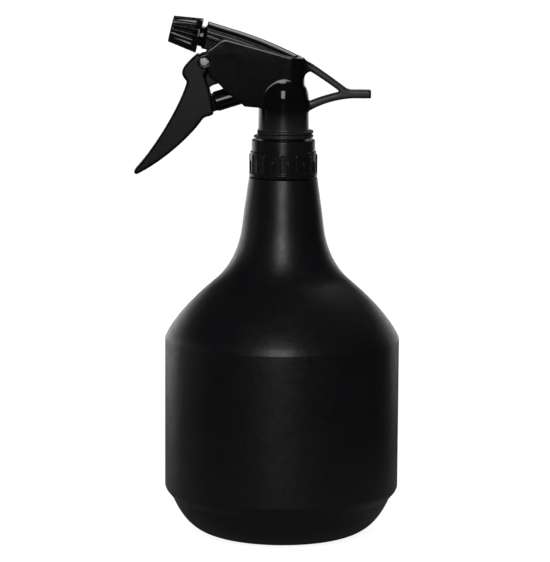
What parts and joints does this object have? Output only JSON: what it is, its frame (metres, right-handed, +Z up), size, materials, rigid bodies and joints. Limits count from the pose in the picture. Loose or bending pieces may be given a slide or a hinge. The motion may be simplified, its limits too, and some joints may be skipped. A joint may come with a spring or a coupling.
{
  "type": "hand mister",
  "caption": "Plastic bottle with a trigger pump head: a finger pull works a piston pump that lifts water up a dip tube and out of a turnable mist nozzle, with a hook at the back.",
  "frame": {"origin": "on the bottle's axis, on the plane that it stands on", "axes": "+Z up along the bottle's axis, -X towards the nozzle, +X towards the hook"},
  "size_m": [0.1324, 0.117, 0.2588],
  "materials": {
    "bottle_black": "satin black blow-moulded polyethylene",
    "head_black": "glossy black moulded plastic",
    "trigger_grey": "satin dark grey moulded plastic",
    "natural_plastic": "translucent natural plastic",
    "pin_white": "satin white plastic",
    "seal_rubber": "matte black elastomer",
    "spring_steel": "drawn stainless steel wire"
  },
  "bodies": {
    "bottle": {"bottle": "bottle_black"},
    "head": {"pump_housing": "head_black", "discharge_barrel": "head_black", "pump_cylinder": "head_black", "cylinder_gland": "head_black", "piston_spring": "spring_steel", "gasket": "seal_rubber", "inlet_valve_seat": "natural_plastic", "outlet_spring": "spring_steel", "dip_tube": "natural_plastic", "suction_strainer": "natural_plastic", "swirl_core": "natural_plastic", "nozzle_o_ring": "seal_rubber", "pivot_pin": "pin_white"},
    "collar": {"collar": "head_black"},
    "trigger": {"trigger": "trigger_grey"},
    "piston": {"piston": "head_black", "piston_seal_front": "seal_rubber", "piston_seal_rear": "seal_rubber", "link_pin": "spring_steel"},
    "inlet_ball": {"inlet_ball": "spring_steel"},
    "outlet_valve": {"outlet_valve": "natural_plastic"},
    "nozzle_carrier": {"orifice_disc": "natural_plastic"},
    "nozzle": {"nozzle_cap": "head_black"}
  },
  "joints": [
    {"name": "head_lift", "type": "slide", "parent": "bottle", "child": "head", "axis": [0, 0, 1], "range_m": [0, 0.19]},
    {"name": "collar_turn", "type": "hinge", "parent": "head", "child": "collar", "pos_m": [0, 0, 0.187], "axis": [0, 0, 1], "continuous": true},
    {"name": "trigger_pull", "type": "hinge", "parent": "head", "child": "trigger", "pos_m": [-0.0392, 0, 0.2368], "axis": [0, -1, 0], "range_deg": [0, 20], "stiffness_Nm_per_rad": 0.6, "springref_deg": -5.73},
    {"name": "piston_slide", "type": "slide", "parent": "head", "child": "piston", "axis": [0.9537, 0, 0.3007], "range_m": [0, 0.0075], "deforming": ["piston_spring"]},
    {"name": "inlet_ball_lift", "type": "slide", "parent": "head", "child": "inlet_ball", "axis": [0, 0, 1], "range_m": [0, 0.0012]},
    {"name": "outlet_valve_lift", "type": "slide", "parent": "head", "child": "outlet_valve", "axis": [0, 0, 1], "range_m": [0, 0.001], "stiffness_N_per_m": 120, "springref_m": -0.002, "deforming": ["outlet_spring"]},
    {"name": "nozzle_travel", "type": "slide", "parent": "head", "child": "nozzle_carrier", "axis": [-0.9713, 0, 0.2377], "range_m": [-0.001, 0.001]},
    {"name": "nozzle_turn", "type": "hinge", "parent": "nozzle_carrier", "child": "nozzle", "pos_m": [-0.04205, 0, 0.24915], "axis": [-0.9713, 0, 0.2377], "range_deg": [-180, 180]}
  ],
  "couplings": [
    {"joint": "piston_slide", "follows": "trigger_pull", "m_per_rad": 0.02126},
    {"joint": "nozzle_turn", "follows": "nozzle_travel", "rad_per_m": 3141.5}
  ]
}
